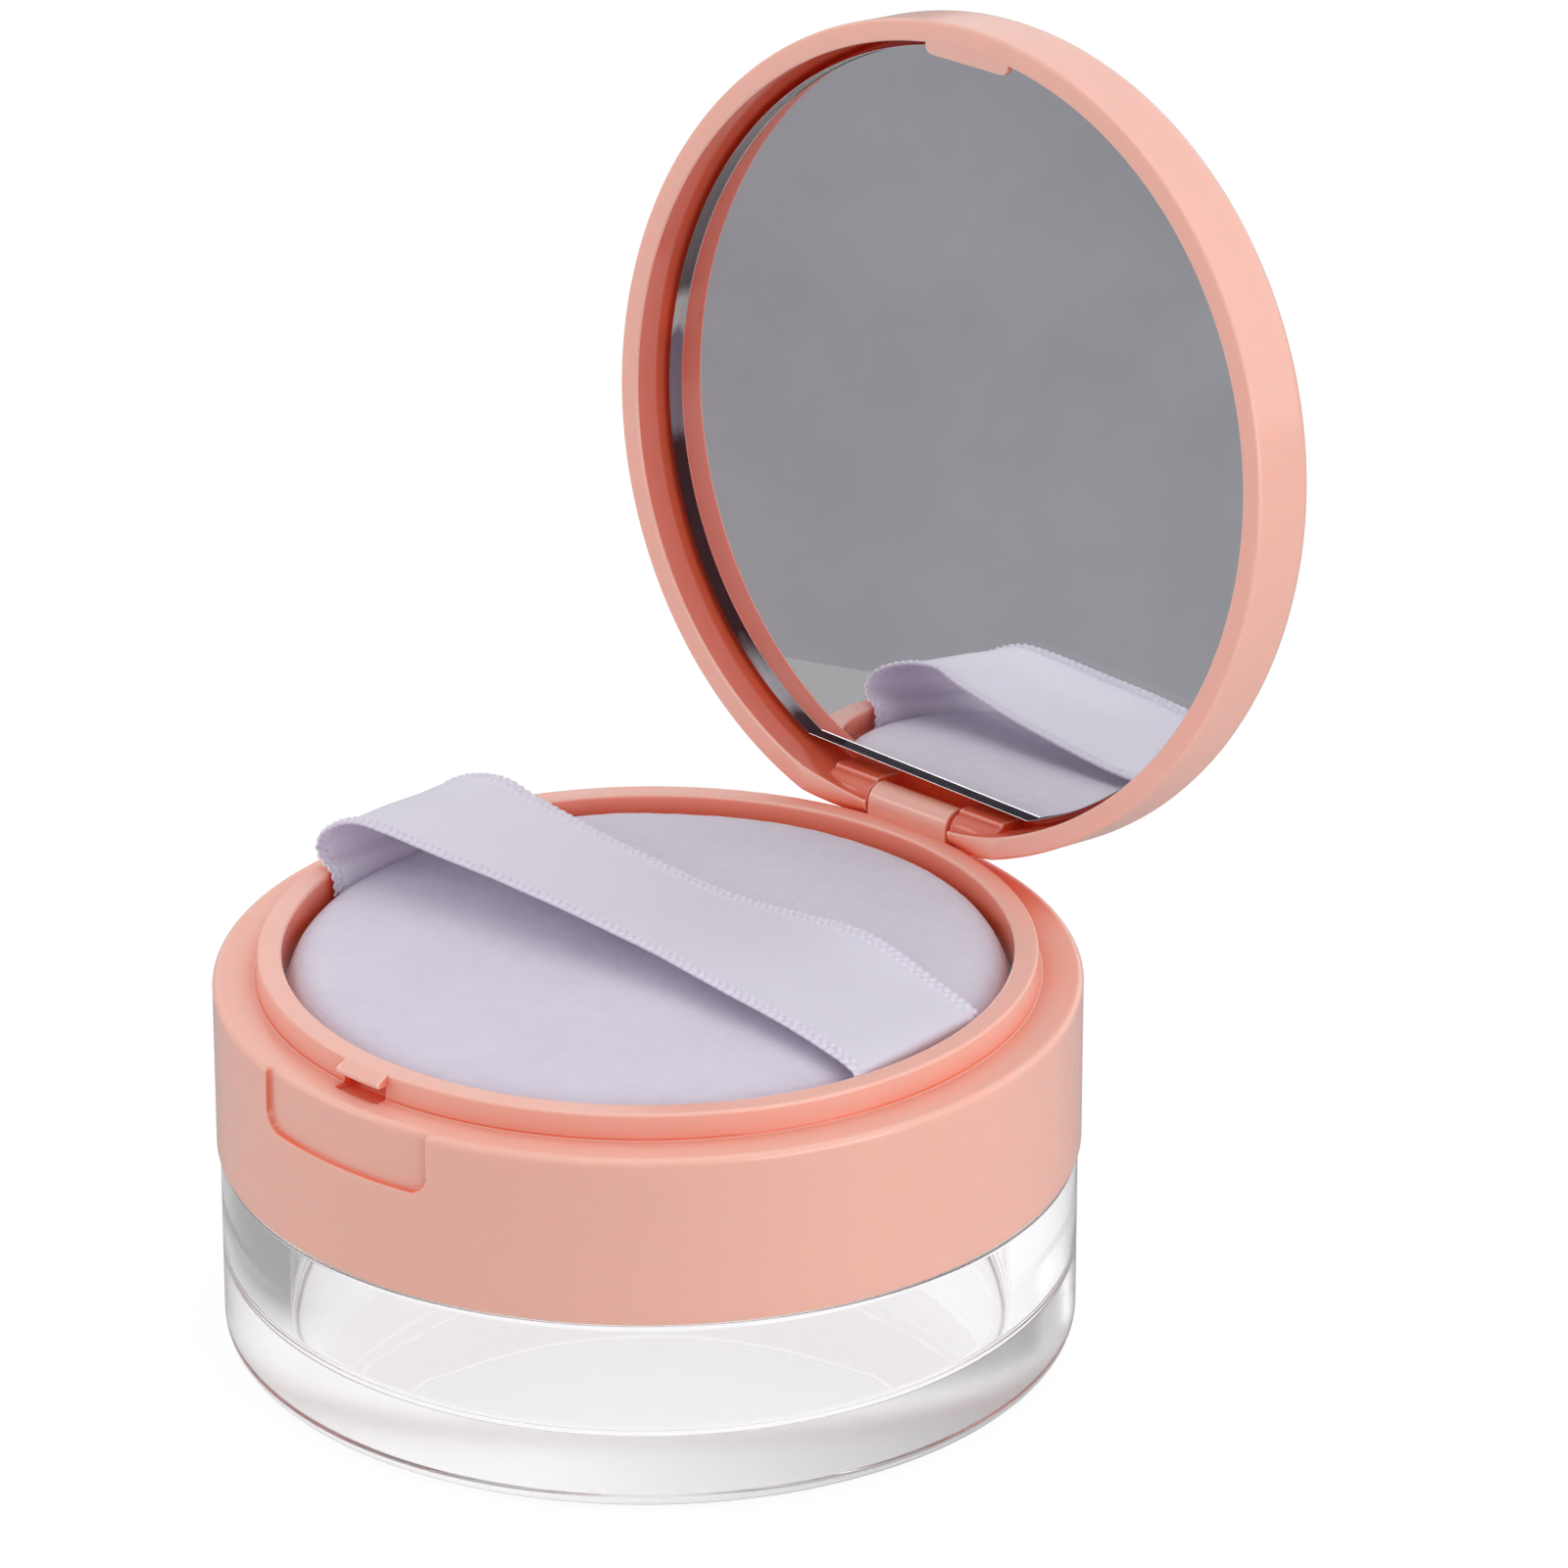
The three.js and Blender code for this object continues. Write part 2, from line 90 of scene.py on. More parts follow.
class Nodes:
    """A material's node tree with a Principled shader, and short calls to add to it."""

    def __init__(self, name):
        self.material = bpy.data.materials.new(name)
        self.material.use_nodes = True
        self.tree = self.material.node_tree
        self.shader = self.tree.nodes["Principled BSDF"]
        self.output = self.tree.nodes["Material Output"]

    def add(self, kind, **settings):
        node = self.tree.nodes.new("ShaderNode" + kind)
        for key, value in settings.items():
            if hasattr(node, key):
                setattr(node, key, value)
            else:
                node.inputs[key.replace("_", " ")].default_value = value
        return node

    def link(self, source, target):
        self.tree.links.new(source, target)

    def set(self, **values):
        for key, value in values.items():
            self.shader.inputs[key.replace("_", " ")].default_value = value

    def place(self, source="Object"):
        """Coordinates in millimetres."""
        coordinates = self.add("TexCoord")
        mapping = self.add("Mapping")
        mapping.inputs["Scale"].default_value = (1000,) * 3
        self.link(coordinates.outputs[source], mapping.inputs["Vector"])
        return mapping.outputs["Vector"]

    def noise(self, vector, scale, detail=3.0, roughness=0.5):
        node = self.add("TexNoise")
        node.inputs["Scale"].default_value = scale
        node.inputs["Detail"].default_value = detail
        node.inputs["Roughness"].default_value = roughness
        self.link(vector, node.inputs["Vector"])
        return node.outputs["Fac"]

    def ramp(self, value, stops):
        node = self.add("ValToRGB")
        ramp = node.color_ramp
        while len(ramp.elements) < len(stops):
            ramp.elements.new(0.5)
        for element, (position, color) in zip(ramp.elements, stops):
            element.position = position
            element.color = (*color, 1)
        self.link(value, node.inputs["Fac"])
        return node.outputs["Color"]

    def span(self, value, low, high, from_low=0.0, from_high=1.0):
        node = self.add("MapRange")
        node.inputs["From Min"].default_value = from_low
        node.inputs["From Max"].default_value = from_high
        node.inputs["To Min"].default_value = low
        node.inputs["To Max"].default_value = high
        self.link(value, node.inputs["Value"])
        return node.outputs["Result"]

    def math(self, operation, a, b=None):
        node = self.add("Math", operation=operation)
        for socket, value in zip(node.inputs, (a, b)):
            if value is None:
                continue
            if isinstance(value, (int, float)):
                socket.default_value = value
            else:
                self.link(value, socket)
        return node.outputs[0]

    def bump(self, height, depth_mm, strength=1.0, after=None):
        node = self.add("Bump")
        node.inputs["Strength"].default_value = strength
        node.inputs["Distance"].default_value = depth_mm * MM
        self.link(height, node.inputs["Height"])
        if after is not None:
            self.link(after, node.inputs["Normal"])
        return node.outputs["Normal"]

    def normal(self, output):
        self.link(output, self.shader.inputs["Normal"])


# ---- Materials ------------------------------------------------------------------------------


# Colours from a closed-in corner, at 0, to a face that stands free, at 1. The deeper orange towards 0 is
# painted shade and painted glow.
CORAL_OUTSIDE = [
    (0.0, (0.97, 0.12, 0.045)), (0.3, (0.88, 0.2, 0.11)), (0.6, (0.89, 0.35, 0.26)),
    (0.85, (0.92, 0.49, 0.405)), (1.0, (0.93, 0.52, 0.435)),
]
# A shaded copy for the lid's inside, deeper all over: painted shade.
CORAL_SHADED_INSIDE = [
    (0.0, (0.97, 0.12, 0.045)), (0.35, (0.8, 0.12, 0.06)), (0.7, (0.79, 0.16, 0.095)),
    (1.0, (0.8, 0.22, 0.15)),
]
# Pale colour for a painted highlight along sharp outer edges.
CORAL_EDGE_HIGHLIGHT = (1.0, 0.8, 0.75, 1)


def coral_plastic(name, shades):
    """Moulded coral plastic, with painted shade: in corners and gaps, and where a mesh's
    own attribute, painted_shade, is 1, it turns a deeper, more orange colour. Its sharp outer edges get a
    pale painted highlight."""
    n = Nodes(name)
    place = n.place()
    # Painted shade: ambient occlusion picks the ramp's deeper orange in corners and gaps.
    nearby = n.add("AmbientOcclusion")
    nearby.samples = 8
    nearby.inputs["Distance"].default_value = 8 * MM
    tint = n.span(n.noise(place, 0.05, 2.0), -0.06, 0.06)
    painted_shade = n.math("MULTIPLY", n.add("Attribute", attribute_name="painted_shade").outputs["Fac"], -0.55)
    openness = n.math("ADD", n.math("ADD", nearby.outputs["AO"], tint), painted_shade)
    # Painted highlight: occlusion cast inward finds sharp outer edges, and these are mixed towards the pale
    # colour.
    edges = n.add("AmbientOcclusion", inside=True, only_local=True)
    edges.samples = 8
    edges.inputs["Distance"].default_value = 0.3 * MM
    edge_highlight = n.add("Mix", data_type="RGBA")
    sockets = {socket.identifier: socket for socket in [*edge_highlight.inputs, *edge_highlight.outputs]}
    sockets["B_Color"].default_value = CORAL_EDGE_HIGHLIGHT
    n.link(n.span(edges.outputs["AO"], 0.85, 0.0, 0.35, 0.85), sockets["Factor_Float"])
    n.link(n.ramp(openness, shades), sockets["A_Color"])
    n.link(sockets["Result_Color"], n.shader.inputs["Base Color"])
    n.set(Subsurface_Weight=0.6, Subsurface_Scale=0.001, IOR=1.6)
    n.shader.inputs["Subsurface Radius"].default_value = (1.4, 0.4, 0.25)
    n.link(n.span(n.noise(place, 0.4, 3.0), 0.12, 0.2), n.shader.inputs["Roughness"])
    n.normal(n.bump(n.noise(place, 0.9, 2.0), 0.002))
    return n.material


def clear_plastic():
    """Clear plastic, polished but for the underside, where the mould leaves it slightly matt."""
    n = Nodes("clear_plastic")
    place = n.place()
    n.set(Base_Color=(0.982, 0.978, 0.99, 1), Transmission_Weight=1.0, IOR=1.49)
    apart = n.add("SeparateXYZ")
    n.link(place, apart.inputs["Vector"])
    under = n.span(apart.outputs["Z"], 0.1, 0.0, 0.4, 0.7)
    n.link(n.math("ADD", under, n.span(n.noise(place, 0.3, 2.0), 0.0, 0.012)), n.shader.inputs["Roughness"])
    n.normal(n.bump(n.noise(place, 0.12, 2.0), 0.006))
    return n.material


def white_plastic():
    n = Nodes("white_plastic")
    place = n.place()
    color = n.ramp(n.noise(place, 0.1, 2.0), [(0.3, (0.83, 0.82, 0.81)), (0.7, (0.87, 0.86, 0.85))])
    n.link(color, n.shader.inputs["Base Color"])
    n.set(Subsurface_Weight=0.4, Subsurface_Scale=0.001)
    n.link(n.span(n.noise(place, 0.7, 3.0), 0.3, 0.42), n.shader.inputs["Roughness"])
    n.normal(n.bump(n.noise(place, 3.0, 2.0), 0.006))
    return n.material


def foam(name, light, dark):
    n = Nodes(name)
    place = n.place()
    cells = n.add("TexVoronoi")
    cells.inputs["Scale"].default_value = 2.2
    n.link(place, cells.inputs["Vector"])
    n.link(n.ramp(cells.outputs["Distance"], [(0.1, dark), (0.6, light)]), n.shader.inputs["Base Color"])
    n.set(Roughness=0.95)
    n.normal(n.bump(cells.outputs["Distance"], 0.08))
    return n.material


def steel():
    n = Nodes("pin_steel")
    place = n.place()
    n.set(Base_Color=(0.62, 0.62, 0.64, 1), Metallic=1.0)
    n.link(n.span(n.noise(place, 4.0, 3.0), 0.2, 0.4), n.shader.inputs["Roughness"])
    return n.material


def velour():
    n = Nodes("puff_velour")
    place = n.place()
    patches = n.noise(place, 0.09, 3.0)
    pile = n.noise(place, 5.5, 4.0, 0.7)
    nap = n.noise(place, 0.6, 3.0)
    mixed = n.math("ADD", n.math("MULTIPLY", patches, 0.5), n.math("MULTIPLY", nap, 0.5))
    color = n.ramp(mixed, [(0.3, (0.7, 0.65, 0.78)), (0.7, (0.76, 0.715, 0.835))])
    n.link(color, n.shader.inputs["Base Color"])
    n.set(Roughness=0.95, Sheen_Weight=0.35, Sheen_Roughness=0.5, Specular_IOR_Level=0.2)
    n.set(Sheen_Tint=WHITE, Subsurface_Weight=0.3, Subsurface_Scale=0.001)
    n.shader.inputs["Subsurface Radius"].default_value = (0.9, 0.8, 0.9)
    n.normal(n.bump(nap, 0.12, 0.5, n.bump(pile, 0.09, 0.7)))
    return n.material


def backing_cloth():
    n = Nodes("puff_backing")
    place = n.place()
    weave = n.add("TexWave", bands_direction="DIAGONAL")
    weave.inputs["Scale"].default_value = 1.1
    weave.inputs["Distortion"].default_value = 0.6
    n.link(place, weave.inputs["Vector"])
    color = n.ramp(weave.outputs["Fac"], [(0.0, (0.78, 0.75, 0.87)), (1.0, (0.84, 0.81, 0.92))])
    n.link(color, n.shader.inputs["Base Color"])
    n.set(Roughness=0.85, Sheen_Weight=0.2)
    n.normal(n.bump(weave.outputs["Fac"], 0.05))
    return n.material


def satin():
    """Fine slanted satin lines over the ribbon's own UV, which is in metres along and across."""
    n = Nodes("ribbon_satin")
    place = n.place(source="UV")
    place.node.inputs["Scale"].default_value = (1000, -1000, 1000)
    lines = n.add("TexWave", bands_direction="DIAGONAL")
    lines.inputs["Scale"].default_value = 2.1
    lines.inputs["Distortion"].default_value = 1.2
    lines.inputs["Detail"].default_value = 2.0
    lines.inputs["Detail Scale"].default_value = 0.6
    n.link(place, lines.inputs["Vector"])
    grain = n.noise(place, 3.5, 3.0)
    mixed = n.math("ADD", n.math("MULTIPLY", lines.outputs["Fac"], 0.6), n.math("MULTIPLY", grain, 0.4))
    color = n.ramp(mixed, [(0.2, (0.845, 0.795, 0.97)), (0.8, (0.905, 0.87, 1.0))])
    n.link(color, n.shader.inputs["Base Color"])
    n.link(n.span(mixed, 0.34, 0.48), n.shader.inputs["Roughness"])
    n.set(Sheen_Weight=0.15, Specular_IOR_Level=0.5, Anisotropic=0.4, Transmission_Weight=0.15, IOR=1.3)
    n.set(Subsurface_Weight=0.3, Subsurface_Scale=0.001)
    n.shader.inputs["Subsurface Radius"].default_value = (0.5, 0.4, 0.6)
    n.normal(n.bump(mixed, 0.02, 0.8))
    return n.material


def mirror_glass():
    n = Nodes("mirror_glass")
    n.set(Base_Color=(0.985, 0.992, 0.99, 1), Transmission_Weight=1.0, IOR=1.52, Roughness=0.0)
    return n.material


def mirror_silver():
    n = Nodes("mirror_silver")
    place = n.place()
    n.link(n.span(n.noise(place, 0.2, 2.0), 0.0, 0.006), n.shader.inputs["Roughness"])
    n.set(Base_Color=(0.93, 0.935, 0.95, 1), Metallic=1.0)
    return n.material


def mirror_edge():
    """The ground edge, coloured by height: painted glints and painted silver reflections in bands, and dark
    between.
    """
    n = Nodes("mirror_edge")
    place = n.place()
    apart = n.add("SeparateXYZ")
    n.link(place, apart.inputs["Vector"])
    height = n.span(apart.outputs["Z"], 0.0, 1.0, 30.0, 110.0)
    stir = n.span(n.noise(place, 0.35, 3.0), -0.012, 0.012)
    dark = (0.035, 0.03, 0.045)
    # Painted glints and painted reflections: the pale stops are bright bands, and the dark stops lie between
    # them.
    color = n.ramp(n.math("ADD", height, stir), [
        (0.1, dark), (0.125, (0.06, 0.06, 0.08)), (0.135, (0.85, 0.85, 0.9)), (0.155, (0.9, 0.9, 0.95)),
        (0.19, dark), (0.38, dark), (0.4, (0.4, 0.36, 0.44)), (0.5, (0.34, 0.3, 0.4)),
        (0.515, (0.95, 0.94, 0.92)), (0.545, (0.95, 0.94, 0.92)), (0.56, (0.2, 0.2, 0.22)),
        (0.68, (0.34, 0.35, 0.38)), (0.85, (0.8, 0.78, 0.76)),
    ])
    n.link(color, n.shader.inputs["Base Color"])
    n.set(Roughness=0.6, Specular_IOR_Level=0.0)
    return n.material


# ---- Profiles -------------------------------------------------------------------------------


def rounded(corners, steps=5, closed=False):
    """A path whose corners (a, b, radius) are turned into arcs. A missing radius is sharp."""
    out = []
    count = len(corners)
    for i, corner in enumerate(corners):
        here = Vector(corner[:2])
        radius = corner[2] if len(corner) > 2 else 0
        if radius == 0 or (not closed and i in (0, count - 1)):
            out.append(tuple(here))
            continue
        before = Vector(corners[i - 1][:2]) - here
        after = Vector(corners[(i + 1) % count][:2]) - here
        half = before.angle(after) / 2
        reach = min(radius / math.tan(half), before.length * 0.49, after.length * 0.49)
        radius = reach * math.tan(half)
        start = here + before.normalized() * reach
        end = here + after.normalized() * reach
        middle = here + (before.normalized() + after.normalized()).normalized() * (radius / math.sin(half))
        a0 = math.atan2(start.y - middle.y, start.x - middle.x)
        turn = (math.atan2(end.y - middle.y, end.x - middle.x) - a0 + math.pi) % TAU - math.pi
        for k in range(steps + 1):
            angle = a0 + turn * k / steps
            out.append((middle.x + radius * math.cos(angle), middle.y + radius * math.sin(angle)))
    return out


def divided(path, longest):
    """The path with points added so that no stretch is longer than longest, a length or a
    function of the stretch's middle."""
    out = []
    for (a0, b0), (a1, b1) in zip(path, path[1:]):
        most = longest((a0 + a1) / 2, (b0 + b1) / 2) if callable(longest) else longest
        pieces = max(1, math.ceil(math.hypot(a1 - a0, b1 - b0) / most))
        out += [(a0 + (a1 - a0) * k / pieces, b0 + (b1 - b0) * k / pieces) for k in range(pieces)]
    out.append(path[-1])
    return out


def evenly(path, count):
    """count points spaced evenly along the path, in two or three dimensions."""
    points = [Vector(p) for p in path]
    lengths = [0.0]
    for a, b in zip(points, points[1:]):
        lengths.append(lengths[-1] + (b - a).length)
    out = []
    k = 0
    for i in range(count):
        goal = lengths[-1] * i / (count - 1)
        while k < len(points) - 2 and lengths[k + 1] < goal:
            k += 1
        stretch = lengths[k + 1] - lengths[k]
        out.append(points[k].lerp(points[k + 1], (goal - lengths[k]) / stretch if stretch else 0))
    return out


def smooth(points, per_span=12):
    """A Catmull-Rom curve through the points."""
    points = [Vector(p) for p in points]
    padded = [2 * points[0] - points[1], *points, 2 * points[-1] - points[-2]]
    out = []
    for p0, p1, p2, p3 in zip(padded, padded[1:], padded[2:], padded[3:]):
        for k in range(per_span):
            t = k / per_span
            out.append(
                0.5 * (2 * p1 + (p2 - p0) * t + (2 * p0 - 5 * p1 + 4 * p2 - p3) * t * t
                       + (3 * p1 - p0 - 3 * p2 + p3) * t ** 3)
            )
    out.append(points[-1])
    return out


def step(value, low, high):
    """Rises smoothly from 0 at low to 1 at high."""
    t = min(1.0, max(0.0, (value - low) / (high - low)))
    return t * t * (3 - 2 * t)


# ---- Meshes ---------------------------------------------------------------------------------


def make(name, points, faces, materials=(), indices=None):
    """An object from millimetre points."""
    mesh = bpy.data.meshes.new(name)
    mesh.from_pydata([(x * MM, y * MM, z * MM) for x, y, z in points], [], faces)
    for material in materials:
        mesh.materials.append(material)
    if indices:
        mesh.polygons.foreach_set("material_index", indices)
    obj = bpy.data.objects.new(name, mesh)
    scene.collection.objects.link(obj)
    return obj


def outward(obj):
    work = bmesh.new()
    work.from_mesh(obj.data)
    bmesh.ops.recalc_face_normals(work, faces=work.faces)
    work.to_mesh(obj.data)
    work.free()


def apply_modifiers(obj):
    graph = bpy.context.evaluated_depsgraph_get()
    mesh = bpy.data.meshes.new_from_object(obj.evaluated_get(graph), depsgraph=graph)
    old = obj.data
    obj.modifiers.clear()
    obj.data = mesh
    bpy.data.meshes.remove(old)


def polish(obj, angle=38.0):
    """Smooth shading that stays flat on the flats and crisp past the angle."""
    mesh = obj.data
    mesh.shade_smooth()
    work = bmesh.new()
    work.from_mesh(mesh)
    limit = math.radians(angle)
    for edge in work.edges:
        if len(edge.link_faces) == 2 and edge.calc_face_angle(0) > limit:
            edge.smooth = False
    work.to_mesh(mesh)
    work.free()
    weights = obj.modifiers.new("weights", "WEIGHTED_NORMAL")
    weights.keep_sharp = True
    weights.weight = 50
    apply_modifiers(obj)


def combine(obj, other, operation):
    """An exact boolean of obj with other, which is then dropped."""
    cut = obj.modifiers.new("cut", "BOOLEAN")
    cut.operation = operation
    cut.solver = "EXACT"
    cut.object = other
    apply_modifiers(obj)
    bpy.data.objects.remove(other)


def lathe(name, profile, angles, material, shift=None):
    """Turns (radius, z) points about Z. A profile that starts and ends on the axis closes there."""
    capped = profile[0][0] == 0 and profile[-1][0] == 0
    points = []
    rows = []
    turns = len(angles)
    for r, z in profile:
        if r == 0:
            rows.append([len(points)] * turns)
            points.append((0, 0, z))
            continue
        rows.append(list(range(len(points), len(points) + turns)))
        for angle in angles:
            place = (r * math.cos(angle), r * math.sin(angle), z)
            points.append(shift(r, z, angle) if shift else place)
    faces = []
    pairs = list(zip(rows, rows[1:]))
    if not capped:
        pairs.append((rows[-1], rows[0]))
    for low, high in pairs:
        for k in range(turns):
            j = (k + 1) % turns
            corners = [low[k], low[j], high[j], high[k]]
            corners = list(dict.fromkeys(corners))
            if len(corners) > 2:
                faces.append(corners)
    obj = make(name, points, faces, [material])
    outward(obj)
    return obj


def even_angles(count):
    return [TAU * k / count for k in range(count)]


def angles_with(fine, coarse=1.25):
    """Angles all the way round, in degrees: coarse, with finer steps in the (from, to, step) spans."""
    marks = set()
    for start, end, pitch in fine:
        count = round((end - start) / pitch)
        marks.update(round(start + (end - start) * k / count, 4) for k in range(count + 1))
    count = round(360 / coarse)
    for k in range(count):
        angle = -180 + 360 * k / count
        if all(not (start - coarse / 2 < angle < end + coarse / 2) for start, end, _ in fine):
            marks.add(angle)
    return [math.radians(a) for a in sorted(marks)]


def block_x(name, outline, x0, x1, material, edge=0.15):
    """A closed (y, z) outline drawn out along X, with its end edges softened where edge isn't 0."""
    ends = [(x0, edge), (x1, edge)]
    if edge:
        near = edge * 0.3
        ends[1:1] = [(x0 + near, near), (x0 + edge, 0), (x1 - edge, 0), (x1 - near, near)]
    middle = Vector((sum(p[0] for p in outline), sum(p[1] for p in outline))) / len(outline)
    points = []
    for x, inset in ends:
        for p in outline:
            q = Vector(p)
            away = q - middle
            q -= away.normalized() * inset
            points.append((x, q.x, q.y))
    count = len(outline)
    last = len(ends) - 1
    faces = [list(range(count)), list(range(count * last, count * (last + 1)))]
    for row in range(last):
        for k in range(count):
            j = (k + 1) % count
            faces.append([row * count + k, row * count + j, (row + 1) * count + j, (row + 1) * count + k])
    obj = make(name, points, faces, [material])
    outward(obj)
    return obj


def rod_x(name, radius, x0, x1, y, z, material, count=48):
    ring = [(y + radius * math.cos(a), z + radius * math.sin(a)) for a in even_angles(count)]
    return block_x(name, ring, x0, x1, material, edge=0)


def finish_piece(obj, body, slot, *nodes):
    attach(obj, body)
    if nodes:
        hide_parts(*nodes)


# ---- Shared dimensions ----------------------------------------------------------------------

HINGE_Y = 34.35
HINGE_Z = 35.8
OPEN = math.radians(97)
KNUCKLE = 4.55  # half length of the centre knuckle
KNUCKLE_END = 9.8  # how far the lid's knuckles reach from the middle
KNUCKLE_GAP = 0.3  # between the centre knuckle and the lid's
BORE = 0.68  # radius of the hole for the pin

coral = coral_plastic("coral_plastic", CORAL_OUTSIDE)
# The second coral is a painted-shade copy for the lid's inside.
coral_shaded_inside = coral_plastic("coral_shaded_inside", CORAL_SHADED_INSIDE)
clear = clear_plastic()
white = white_plastic()

# ---- Jar ------------------------------------------------------------------------------------

NECK = 33.9
RIDGE = 0.85  # height of the thread
PITCH = 4.0
THREAD_START = 20.6
WALL_OUT = 36.8
WALL_IN = 31.2
WALL_TOP = 17.1
MOUTH = 28.3
CAVITY = 4.7


def ridge(z, angle, start):
    """Height of a one-turn rounded thread ridge, which tapers at both ends."""
    turn = (angle % TAU) / TAU
    away = abs(z - (start + PITCH * turn))
    taper = step(turn, 0.0, 0.05) * step(1 - turn, 0.0, 0.05)
    return math.sqrt(max(0.0, RIDGE * RIDGE - away * away)) * taper


def jar():
    outline = rounded([
        (0, 0.35), (33.2, 0.35, 0.3), (33.6, 0, 0.25), (WALL_OUT, 0, 1.8), (WALL_OUT, WALL_TOP, 0.4),
        (NECK, WALL_TOP, 0.2), (NECK, MOUTH, 0.4), (WALL_IN, MOUTH, 0.4), (WALL_IN, CAVITY, 1.6), (0, CAVITY),
    ], 7)
    fine = divided(divided(outline, 3.0), lambda r, z: 0.16 if abs(r - NECK) < 0.01 else 3.0)

    def thread(r, z, angle):
        if abs(r - NECK) < 0.01:
            r += ridge(z, angle, THREAD_START)
        return (r * math.cos(angle), r * math.sin(angle), z)

    obj = lathe("jar_clear", fine, even_angles(360), clear, thread)
    polish(obj)
    finish_piece(obj, "jar", "clear_jar", "jar")


jar()

# ---- Head -----------------------------------------------------------------------------------

COLLAR = 37.1
SKIRT = 35.2
SHELF = 32.5
RING_IN = 31.15
RING_OUT = 33.2
RING_TOP = 34.8
RECESS_DEPTH = 0.55
RECESS_X = -0.5
RECESS_HALF = 9.45
RECESS_BOTTOM = 27.0
RECESS_CORNER = 1.8
CATCH_HALF = 2.4
CATCH_X = -0.57


def in_recess(x, z):
    """0 outside the thumb recess and 1 inside, over a soft wall."""
    across = abs(x - RECESS_X) - RECESS_HALF + RECESS_CORNER
    below = RECESS_BOTTOM + RECESS_CORNER - z
    outside = math.hypot(max(across, 0), max(below, 0)) + min(max(across, below), 0) - RECESS_CORNER
    return 1 - step(outside, -0.12, 0.1)


def collar_profiles():
    """The plain section, and the section through the catch, point for point alike."""
    skirt = rounded([
        (RING_IN, 31.0), (SKIRT, 31.0, 0.25), (SKIRT, 17.4, 0.3), (COLLAR, 17.4, 0.2), (COLLAR, SHELF, 0.6),
        (34.6, SHELF),
    ], 6)

    def longest(r, z):
        """Fine where the recess is, and on the inside for the thread."""
        if r > 36 and z > RECESS_BOTTOM - 0.8:
            return 0.12
        return 0.22 if r < SKIRT + 0.1 else 0.6

    skirt = divided(divided(skirt, 0.6), longest)
    plain = rounded([(34.6, SHELF), (33.45, SHELF, 0.25), (RING_OUT, RING_TOP, 0.28), (32.2, RING_TOP)], 5)
    low = SHELF - 0.35
    caught = rounded([
        (34.6, SHELF), (34.4, low, 0.15), (32.4, low, 0.2), (32.4, 33.75, 0.2), (34.3, 33.75, 0.08),
        (34.3, 34.15, 0.12), (RING_OUT, RING_TOP, 0.2), (32.2, RING_TOP),
    ], 4)
    count = 72
    plain = [tuple(p) for p in evenly(plain, count)]
    caught = [tuple(p) for p in evenly(caught, count)]
    inner = divided(rounded([(32.2, RING_TOP), (RING_IN, RING_TOP, 0.28), (RING_IN, 31.0)], 5), 0.4)
    head = skirt[:-1]
    tail = inner[1:-1]
    return head + plain + tail, head + caught + tail


def collar():
    """The head's outer part. Its attribute, painted_shade, marks the foot of the ring and the recess's wall
    for painted shade.
    """
    plain, caught = collar_profiles()
    at_catch = dict(zip(plain, caught))

    def shape(r, z, angle):
        x_turn = math.degrees(angle) + 90
        in_catch = 1 - step(abs(math.radians(x_turn) * 33.4 - CATCH_X), CATCH_HALF, CATCH_HALF + 0.07)
        inner_wall = abs(r - SKIRT) < 0.01 and z < 30.9
        if in_catch > 0:
            r1, z1 = at_catch[(r, z)]
            r, z = r + (r1 - r) * in_catch, z + (z1 - z) * in_catch
        if inner_wall:
            r -= ridge(z, angle, THREAD_START - PITCH / 2)
        x = r * math.cos(angle)
        y = r * math.sin(angle)
        if y < 0 and abs(x) < 11 and z > 26.4 and r > 34.9:
            r -= RECESS_DEPTH * in_recess(x, z) * step(r, 34.9, 36.4)
            x, y = r * math.cos(angle), r * math.sin(angle)
        if y < 0 and r > 33.7 and z > SHELF - 0.1:
            z += 0.06 * math.exp(-((abs(x - CATCH_X) - CATCH_HALF) / 0.08) ** 2) * step(r, 33.7, 34.0)
        if y > 0 and KNUCKLE < abs(x) < KNUCKLE_END + 0.3 and z > 33.0:
            away = Vector((y - HINGE_Y, z - HINGE_Z))
            if away.length < 1.75:
                away = away.normalized() * 1.75
                y, z = HINGE_Y + away.x, HINGE_Z + away.y
        return (x, y, z)

    fine = [(-107.5, -95.3, 0.16), (-95.3, -84.7, 0.12), (-84.7, -72.5, 0.16), (71.5, 108.5, 0.25)]
    obj = lathe("head_collar", plain, angles_with(fine, 1.0), coral, shape)
    radius = 1.6
    arch = [(HINGE_Y + radius * math.cos(a), HINGE_Z + radius * math.sin(a))
            for a in [math.pi * k / 28 for k in range(29)]]
    foot = SHELF - 0.3
    outline = [(HINGE_Y + radius + 0.25, foot), *arch, (HINGE_Y - radius - 0.15, foot)]
    knuckle = block_x("knuckle", outline, -KNUCKLE, KNUCKLE, coral)
    combine(obj, knuckle, "UNION")
    combine(obj, rod_x("bore", BORE, -6, 6, HINGE_Y, HINGE_Z, coral), "DIFFERENCE")
    # Painted shade: the ring's foot and the recess's wall are marked to take a deeper orange.
    painted_shade = obj.data.attributes.new("painted_shade", "FLOAT", "POINT").data
    for vertex, value in zip(obj.data.vertices, painted_shade):
        x, y, z = vertex.co / MM
        r = math.hypot(x, y)
        in_foot = RING_OUT - 0.05 < r < 33.5 and SHELF - 0.01 < z < SHELF + 0.22
        in_wall = y < 0 and r > 35.9 and z < SHELF - 0.1 and 0.02 < in_recess(x, z) < 0.98
        value.value = 1.0 if in_foot or in_wall else 0.0
    polish(obj)
    finish_piece(obj, "head", "coral_plastic", "collar")


collar()


